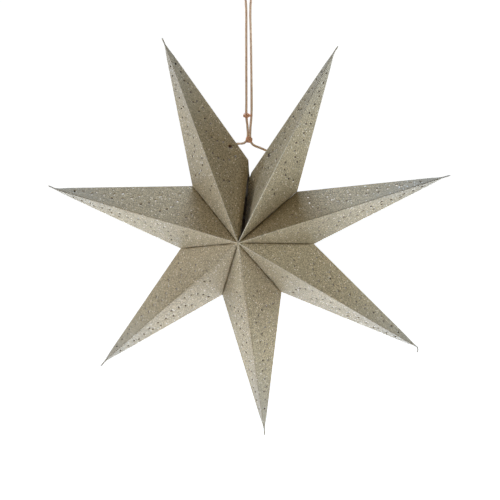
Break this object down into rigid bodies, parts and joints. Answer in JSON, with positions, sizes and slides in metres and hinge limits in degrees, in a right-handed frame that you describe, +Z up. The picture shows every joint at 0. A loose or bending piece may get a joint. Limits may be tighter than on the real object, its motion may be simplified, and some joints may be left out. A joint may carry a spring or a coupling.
{
  "type": "paper star",
  "caption": "Hanging paper star of hollow folded card arms pierced with pinholes, tied at its top slit by a knotted leather cord that ends in a loop.",
  "frame": {"origin": "inside top of the cord's loop, where a hook or nail bears", "axes": "+Z up along the hanging cord, -Y out of the star's front towards the viewer, +X to the viewer's right"},
  "size_m": [0.4516, 0.13, 0.5183],
  "materials": {
    "card": "matt taupe card with a fine glittering grain",
    "cord": "waxed tan leather"
  },
  "bodies": {
    "root": {"arm_top_left": "card", "arm_left": "card", "arm_bottom_left": "card", "arm_bottom": "card", "arm_bottom_right": "card", "arm_right": "card", "arm_top_right": "card", "hanging_cord": "cord", "lower_knot": "cord", "upper_knot": "cord", "left_stop_knot": "cord", "right_stop_knot": "cord"}
  },
  "joints": []
}
